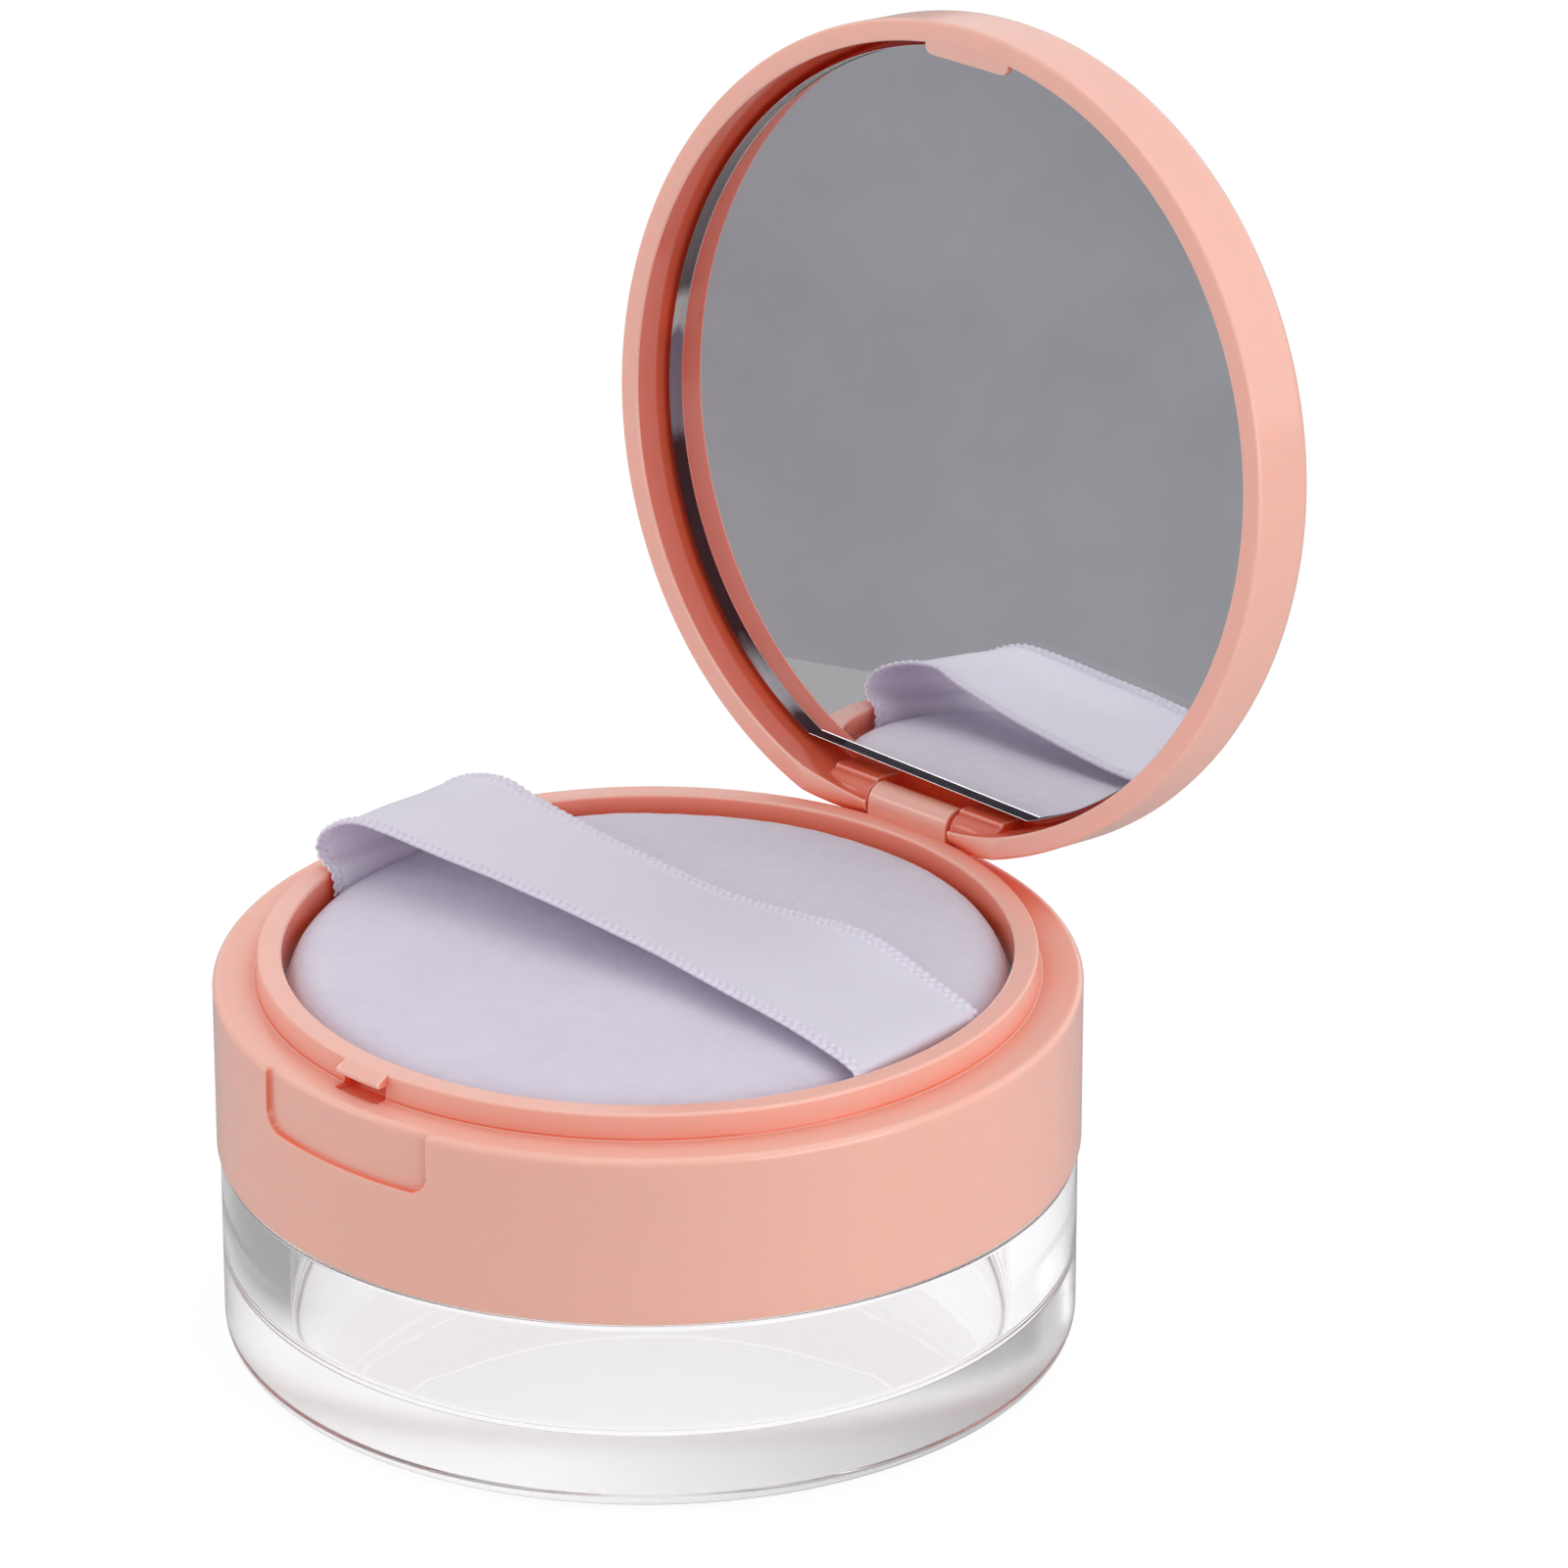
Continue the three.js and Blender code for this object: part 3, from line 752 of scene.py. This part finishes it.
def sifter():
    """A tray with a rim, and holes in rings of six, twelve and eighteen round one in the middle."""
    outline = rounded([
        (0, 27.6), (30.9, 27.6, 0.2), (30.9, 29.9, 0.15), (34.9, 29.9, 0.2), (34.9, 30.7, 0.2),
        (30.2, 30.7, 0.25), (30.2, 28.4, 0.5), (0, 28.4),
    ], 5)
    obj = lathe("head_sifter", divided(outline, 2.0), even_angles(180), white)
    points = []
    faces = []
    hole = 0.8
    spacing = 6.6
    sides = 24
    for ring in range(4):
        count = max(1, 6 * ring)
        for n in range(count):
            cx = ring * spacing * math.cos(TAU * n / count)
            cy = ring * spacing * math.sin(TAU * n / count)
            base = len(points)
            for z in (26.0, 29.5):
                points += [(cx + hole * math.cos(a), cy + hole * math.sin(a), z) for a in even_angles(sides)]
            faces.append([base + k for k in reversed(range(sides))])
            faces.append([base + sides + k for k in range(sides)])
            for k in range(sides):
                j = (k + 1) % sides
                faces.append([base + k, base + j, base + sides + j, base + sides + k])
    combine(obj, make("holes", points, faces, [white]), "DIFFERENCE")
    polish(obj)
    finish_piece(obj, "head", "white_plastic", "sifter_tray")


sifter()


def seal():
    inner, outer, low, high, corner = 32.0, 33.7, 28.6, 29.6, 0.2
    square = [(inner, low, corner), (outer, low, corner), (outer, high, corner), (inner, high, corner)]
    outline = rounded(square, 4, closed=True)
    material = foam("seal_foam", (0.86, 0.86, 0.83), (0.74, 0.74, 0.71))
    obj = lathe("seal_ring", outline, even_angles(200), material)
    polish(obj)
    finish_piece(obj, "seal", "seal_foam", "sealing_ring")


seal()

# ---- Lid ------------------------------------------------------------------------------------

RIM = 32.8
LID_TOP = 40.1
LID_FLOOR = 38.9
LID_IN = 34.75
LID_OUT = 36.7
FLARE_HALF = 13.0  # half the stretch of rim that is cut back at the hinge
FLARE_TOP = 37.0
SWING_GAP = 0.17


def opened(obj):
    """Turns a mesh drawn on the closed lid back about the hinge."""
    hinge = Vector((0, HINGE_Y, HINGE_Z)) * MM
    turn = Matrix.Translation(hinge) @ Matrix.Rotation(-OPEN, 4, "X") @ Matrix.Translation(-hinge)
    obj.data.transform(turn)


def lid():
    """The lid, drawn closed. At the hinge its rim stays inside what clears the ring as it swings."""
    outline = rounded([
        (0, LID_FLOOR), (LID_IN, LID_FLOOR, 0.3), (LID_IN, RIM, 0.22), (LID_OUT, RIM, 0.25),
        (LID_OUT, LID_TOP, 1.7), (0, LID_TOP),
    ], 8)
    path = [p for p in divided(outline, 0.25) if p[0] > 33]
    flats_in = [(r, LID_FLOOR) for r in (8, 16, 24, 30)]
    flats_out = [(r, LID_TOP) for r in (30, 24, 16, 8)]
    path = [(0, LID_FLOOR), *flats_in, *path, *flats_out, (0, LID_TOP)]

    def shape(r, z, angle):
        x, y = r * math.cos(angle), r * math.sin(angle)
        if y > 0 and abs(x) < FLARE_HALF and z < FLARE_TOP:
            ring_y = math.sqrt(RING_OUT ** 2 - x * x)
            reach = math.hypot(HINGE_Y - ring_y, HINGE_Z - RING_TOP) - SWING_GAP
            drop = math.sqrt(max(0.04, reach * reach - (y - HINGE_Y) ** 2))
            low = max(RIM, HINGE_Z - drop)
            z = low + (z - RIM) * (FLARE_TOP - low) / (FLARE_TOP - RIM)
        return (x, y, z)

    obj = lathe("lid_case", path, angles_with([(68.03, 112.03, 0.2), (-99, -81, 0.4)], 1.0), coral, shape)
    window = [(31.9, RIM - 1), (40, RIM - 1), (40, 38.2), (31.9, 38.2)]
    half = KNUCKLE + KNUCKLE_GAP + 0.02
    combine(obj, block_x("window", window, -half, half, coral, 0), "DIFFERENCE")
    radius = 1.35
    for side in (-1, 1):
        x0, x1 = sorted((side * (KNUCKLE + KNUCKLE_GAP), side * KNUCKLE_END))
        arch = [(HINGE_Y + radius * math.cos(a), HINGE_Z + radius * math.sin(a))
                for a in [math.radians(-171.5 + 226.5 * k / 40) for k in range(41)]]
        outline = [*arch, (35.12, 39.2), (32.55, 39.2), (32.55, 36.0), (32.65, 35.72), (32.85, 35.62)]
        knuckle = block_x("lid_knuckle", outline, x0, x1, coral, 0.12)
        trim = lathe("trim", [(0, 30), (36.55, 30), (36.55, 45), (0, 45)], even_angles(400), coral)
        combine(knuckle, trim, "INTERSECT")
        combine(obj, knuckle, "UNION")
    half = 4.7
    tab = rounded([(-half, -35.4), (half, -35.4), (half, -33.5, 0.8), (-half, -33.5, 0.8)], 6, closed=True)
    count = len(tab)
    rows = [(RIM + 0.02, 0.12), (RIM + 0.14, 0), (RIM + 0.68, 0), (RIM + 0.8, 0.12)]
    points = []
    for z, inset in rows:
        for x, y in tab:
            points.append((x * (1 - inset / half), y - (inset if y > -34.5 else 0), z))
    faces = [list(range(count)), list(range(3 * count, 4 * count))]
    for row in range(3):
        for k in range(count):
            j = (k + 1) % count
            faces.append([row * count + k, row * count + j, (row + 1) * count + j, (row + 1) * count + k])
    catch = make("tab", points, faces, [coral])
    outward(catch)
    combine(obj, catch, "UNION")
    # A hair off centre, so that no edge of the hole lies on an edge of the knuckles.
    bore = rod_x("lid_bore", BORE, -9.27, 9.31, HINGE_Y + 0.003, HINGE_Z - 0.002, coral, 37)
    combine(obj, bore, "DIFFERENCE")
    # The lid's inside faces take the shaded copy of the coral: painted shade.
    obj.data.materials.append(coral_shaded_inside)
    for face in obj.data.polygons:
        x, y, z = face.center / MM
        if math.hypot(x, y) < LID_IN + 0.03 and RIM + 0.3 < z < LID_TOP - 0.5:
            face.material_index = 1
    opened(obj)
    polish(obj)
    finish_piece(obj, "lid", "coral_plastic", "lid_shell")


lid()


def mirror():
    """A disc of glass with one flat side, silvered behind, with a fine chamfer in front."""
    radius, flat, face, thickness, turn = 34.0, 31.45, 36.2, 1.6, math.radians(1.5)
    half = math.sqrt(radius * radius - flat * flat)
    edge = math.atan2(flat, half)
    sides = 240
    sweep = math.pi + 2 * edge
    outline = []
    for k in range(sides + 1):
        angle = math.pi - edge + sweep * k / sides
        outline.append((radius * math.cos(angle), radius * math.sin(angle)))
    outline += [(half + (-2 * half) * k / 40, flat) for k in range(1, 40)]
    count = len(outline)
    rows = [(face, 0.06), (face + 0.06, 0.0), (face + thickness, 0.0)]
    points = []
    for z, inset in rows:
        shrink = 1 - inset / radius
        for x, y in outline:
            x, y = x * shrink, y * shrink
            turned = (x * math.cos(turn) - y * math.sin(turn), x * math.sin(turn) + y * math.cos(turn))
            points.append((*turned, z))
    faces = [list(reversed(range(count)))]
    indices = [0]
    for row in range(2):
        for k in range(count):
            j = (k + 1) % count
            faces.append([row * count + k, row * count + j, (row + 1) * count + j, (row + 1) * count + k])
            indices.append(0 if row == 0 else 2)
    faces.append([2 * count + k for k in range(count)])
    indices.append(1)
    obj = make("lid_mirror", points, faces, [mirror_glass(), mirror_silver(), mirror_edge()], indices)
    outward(obj)
    opened(obj)
    finish_piece(obj, "lid", "mirror_glass", "mirror")


mirror()

# ---- Puff -----------------------------------------------------------------------------------

PUFF_TOP = [
    (0, 35.7), (8, 35.62), (18, 35.35), (24, 34.95), (28, 34.3), (29.8, 33.5), (30.5, 32.6), (30.6, 32.1),
]
PUFF_SIDE = [(30.6, 32.1), (30.2, 31.2), (29.2, 30.0), (28.2, 29.15), (27.2, 28.98)]


def puff():
    random.seed(7)
    top = [(max(0.0, p.x), p.y) for p in smooth(PUFF_TOP, 14)]
    side = [tuple(p) for p in smooth(PUFF_SIDE, 12)]
    path = divided(top + side[1:], 0.28)
    path = [(0, 35.7)] + [p for p in path if p[0] > 0.15] + [(20, 28.98), (10, 28.98), (0, 28.98)]

    def shape(r, z, angle):
        x, y = r * math.cos(angle), r * math.sin(angle)
        swell = noise.noise(Vector((x * 0.07, y * 0.07, 3.0))) * 0.22
        nap = noise.noise(Vector((x * 0.5, y * 0.5, z * 0.5))) * 0.05
        pile = random.uniform(-0.028, 0.028)
        up = step(z, 31.5, 35.0)
        seam = 0.2 * math.exp(-((z - 32.1) / 0.25) ** 2) * (0.7 + 0.3 * math.cos(angle * 170))
        out = (nap + pile) * (1 - up) + seam - 0.1 * (1 - up)
        z += (swell + nap + pile) * up if z > 29.1 else 0
        r = r + out if z > 29.1 else r
        return (r * math.cos(angle), r * math.sin(angle), z)

    obj = lathe("puff_pad", path, even_angles(420), velour(), shape)
    polish(obj, 180)
    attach(obj, "puff")
    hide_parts("puff_cover", "puff_foam")

    disc = rounded([(0, 28.7), (26.9, 28.7, 0.1), (26.9, 28.95, 0.1), (0, 28.95)], 3)

    def hem(r, z, angle):
        ring = math.exp(-((r - 25.9) / 0.25) ** 2) * (0.6 + 0.4 * math.cos(angle * 140))
        if z < 28.8:
            z += 0.1 * ring
        return (r * math.cos(angle), r * math.sin(angle), z)

    base = lathe("puff_base", divided(disc, 0.5), even_angles(420), backing_cloth(), hem)
    polish(base)
    finish_piece(base, "puff", "puff_velour", "puff_back")


puff()

# ---- Ribbon ---------------------------------------------------------------------------------

# The ribbon's two edges, from the left end to the right.
NEAR = [
    (-29.2, -8.5, 33.0), (-29.4, -8.45, 34.3), (-29.9, -8.4, 35.2), (-31.0, -8.3, 35.7), (-31.6, -8.3, 36.8),
    (-31.0, -8.35, 38.2), (-29.6, -8.3, 39.4), (-27.7, -8.2, 40.3), (-25.1, -8.2, 40.7), (-17.7, -8.1, 40.5),
    (-8.7, -7.8, 40.15), (0.2, -7.4, 39.45), (5.6, -7.1, 38.8), (11.1, -7, 38.15), (16.7, -7, 37.5),
    (22.2, -7, 36.75), (27.4, -7, 35.75), (29.6, -7, 35.1), (30.25, -7, 34.4), (30.2, -7, 33.2),
]
FAR = [
    (-28.9, 9, 33.0), (-29.1, 9, 34.3), (-29.7, 8.9, 35.2), (-30.8, 8.6, 35.6), (-31.6, 8.2, 36.6),
    (-31.1, 7.9, 37.9), (-29.1, 7.8, 39.1), (-26.5, 7.8, 39.9), (-23.9, 7.8, 40.1), (-21.0, 8.0, 39.4),
    (-11.6, 8.5, 37.9), (-2.3, 8.9, 36.95), (3.6, 9, 36.85), (10.0, 9, 37.5), (15.0, 9, 38.0),
    (19.5, 9, 37.6), (24.6, 9, 36.1), (28.3, 9, 35.0), (29.35, 9, 34.3), (29.4, 9, 33.2),
]
RIBBON_WIDTH = 16.35
RIBBON_THICKNESS = 0.22
BEAD_PITCH = 0.82
BEAD_ROWS = (0.3, 0.92)  # from the edge


def ribbon():
    along = 640
    near = evenly(smooth(NEAR), along)
    far = evenly(smooth(FAR), along)
    width = RIBBON_WIDTH
    margin = [k * 0.115 for k in range(13)]
    inner = [1.38 + (width - 2.76) * k / 34 for k in range(1, 34)]
    across = margin + inner + [width - m for m in reversed(margin)]
    length = sum((a - b).length for a, b in zip(near, near[1:]))
    points = []
    flat = []
    for i in range(along):
        s = length * i / (along - 1)
        a, b = near[i], far[i]
        middle_line = (near[min(i + 1, along - 1)] - near[max(i - 1, 0)]
                       + far[min(i + 1, along - 1)] - far[max(i - 1, 0)])
        up = middle_line.cross(b - a).normalized()
        sideways = (b - a).normalized()
        for w in across:
            v = w / width
            sag = -0.35 * math.sin(math.pi * v) * step(s, 6, 16) * step(length - s, 3, 14)
            crease = 0.1 * noise.noise(Vector((s * 0.12, w * 0.22, 1.0)))
            edge = min(w, width - w)
            near_side = w < width / 2
            phase = s / BEAD_PITCH
            bead = 0.0
            for row, centre in enumerate(BEAD_ROWS):
                wave = math.cos(TAU * (phase + 0.5 * row)) * 0.5 + 0.5
                bead += (0.3 if near_side else 0.2) * wave ** 1.2 * math.exp(-((edge - centre) / 0.22) ** 2)
            scallop = 0.0
            if edge < 0.24:
                scallop = 0.16 * (math.cos(TAU * phase) * 0.5 + 0.5) * (1 - edge / 0.24)
            p = a.lerp(b, v) + up * (bead + crease) + Vector((0, 0, sag))
            p += sideways * (-scallop if near_side else scallop)
            points.append(tuple(p))
            flat.append((s * MM, w * MM))
    columns = len(across)
    faces = []
    for i in range(along - 1):
        for k in range(columns - 1):
            c = i * columns + k
            faces.append([c, c + columns, c + columns + 1, c + 1])
    obj = make("ribbon_strap", points, faces, [satin()])
    uv = obj.data.uv_layers.new(name="UVMap")
    for loop in obj.data.loops:
        uv.data[loop.index].uv = flat[loop.vertex_index]
    thick = obj.modifiers.new("thick", "SOLIDIFY")
    thick.thickness = RIBBON_THICKNESS * MM
    thick.offset = 0
    apply_modifiers(obj)
    polish(obj, 60)
    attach(obj, "puff")
    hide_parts("puff_ribbon")
    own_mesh(obj)


ribbon()

# ---- Carried-over CAD nodes -----------------------------------------------------------------


def dress(node, material):
    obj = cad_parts[node]
    obj.data.materials.clear()
    obj.data.materials.append(material)


dress("hinge_pin", steel())
dress("mirror_pad", foam("pad_foam", (0.82, 0.81, 0.78), (0.7, 0.69, 0.66)))

# ---- Stage and light ------------------------------------------------------------------------


def floor():
    """A pale floor. It shines evenly to the camera, and less to light that bounces. Seen through the glass it
    turns dark beyond about 40 mm to the front left: painted shade.
    """
    side = 4000
    corners = [(x * side, y * side, -0.05) for x, y in ((-1, -1), (1, -1), (1, 1), (-1, 1))]
    obj = make("floor", corners, [[0, 1, 2, 3]])
    n = Nodes("floor_pale")
    n.set(Base_Color=(0.1, 0.1, 0.1, 1), Roughness=1.0, Specular_IOR_Level=0.0)
    n.set(Emission_Color=WHITE)
    rays = n.add("LightPath").outputs
    # Painted shade for the glass: rays through it see the floor dim beyond about 40 mm to the front left.
    towards = n.add("VectorMath", operation="DOT_PRODUCT")
    towards.inputs[1].default_value = (-0.9, -0.45, 0)
    n.link(n.place(), towards.inputs[0])
    through = n.span(towards.outputs["Value"], 0.7, 0.0, 34.0, 42.0)
    total = n.math("MULTIPLY", rays["Is Camera Ray"], 0.63)
    total = n.math("ADD", total, n.math("MULTIPLY", rays["Is Diffuse Ray"], 0.35))
    total = n.math("ADD", total, n.math("MULTIPLY", rays["Is Transmission Ray"], through))
    n.link(n.math("ADD", total, 0.3), n.shader.inputs["Emission Strength"])
    obj.data.materials.append(n.material)


floor()


def grey_card():
    """Seen only in the mirror and the glass: a mottled grey backdrop at the front left."""
    centre = Vector((-125, -152, 50))
    half_width, half_height = 130, 62
    away = Vector((0.62, 0.75, 0.23)).normalized()
    sideways = away.cross(Vector((0, 0, 1))).normalized()
    up = sideways.cross(away).normalized()
    corners = [centre + sideways * a * half_width + up * b * half_height
               for a, b in ((-1, -1), (1, -1), (1, 1), (-1, 1))]
    obj = make("grey_card", [tuple(c) for c in corners], [[0, 1, 2, 3]])
    n = Nodes("grey_mottled")
    place = n.place()
    apart = n.add("SeparateXYZ")
    n.link(place, apart.inputs["Vector"])
    low = n.span(apart.outputs["Z"], 0.62, 0.38, 0.0, 110.0)
    soft = n.span(n.noise(place, 0.035, 5.0, 0.6), -0.35, 0.35)
    mottled = n.math("ADD", low, soft)
    greys = [(0.2, (0.245, 0.235, 0.27)), (0.5, (0.3, 0.298, 0.32)), (0.8, (0.36, 0.36, 0.37))]
    color = n.ramp(mottled, greys)
    n.link(color, n.shader.inputs["Emission Color"])
    n.set(Base_Color=BLACK, Roughness=1.0, Specular_IOR_Level=0.0, Emission_Strength=1.0)
    obj.data.materials.append(n.material)
    obj.visible_camera = False
    obj.visible_diffuse = False
    obj.visible_shadow = False


grey_card()

world = bpy.data.worlds.new("studio")
world.use_nodes = True
sky = world.node_tree
around = sky.nodes.new("ShaderNodeTexCoord")


def brightness(towards, start, end, low, high):
    """The sky's strength: low where its direction meets towards at start, and high at end."""
    meets = sky.nodes.new("ShaderNodeVectorMath")
    meets.operation = "DOT_PRODUCT"
    meets.inputs[1].default_value = towards
    sky.links.new(around.outputs["Generated"], meets.inputs[0])
    span = sky.nodes.new("ShaderNodeMapRange")
    span.inputs["From Min"].default_value = start
    span.inputs["From Max"].default_value = end
    span.inputs["To Min"].default_value = low
    span.inputs["To Max"].default_value = high
    sky.links.new(meets.outputs["Value"], span.inputs["Value"])
    return span.outputs["Result"]


# What shines and refracts sees a darker front left, and what is matt gets a little less from in front.
rays = sky.nodes.new("ShaderNodeLightPath")
level = sky.nodes.new("ShaderNodeMix")
sky.links.new(rays.outputs["Is Diffuse Ray"], level.inputs["Factor"])
sky.links.new(brightness((-0.82, -0.52, -0.25), -0.1, 0.7, 1.05, 0.42), level.inputs["A"])
sky.links.new(brightness((0, -1, 0), 0.0, 1.0, 0.8, 0.5), level.inputs["B"])
sky.links.new(level.outputs["Result"], sky.nodes["Background"].inputs["Strength"])
sky.nodes["Background"].inputs["Color"].default_value = WHITE
scene.world = world


def softbox(name, place, aim, size, watts):
    data = bpy.data.lights.new(name, "AREA")
    data.shape = "SQUARE"
    data.size = size
    data.energy = watts
    obj = bpy.data.objects.new(name, data)
    scene.collection.objects.link(obj)
    obj.location = place
    obj.rotation_euler = (Vector(aim) - Vector(place)).to_track_quat("-Z", "Y").to_euler()


softbox("top", (0.15, 0.05, 0.9), (0, 0, 0.03), 0.7, 0.8)
softbox("side", (0.36, -0.02, 0.08), (0, 0, 0.02), 0.24, 0.36)
softbox("front_left", (-0.3, -0.26, 0.14), (0, 0, 0.03), 0.24, 0.36)

bpy.context.view_layer.update()


def plain(box):
    return [[float(v) for v in corner] for corner in box]
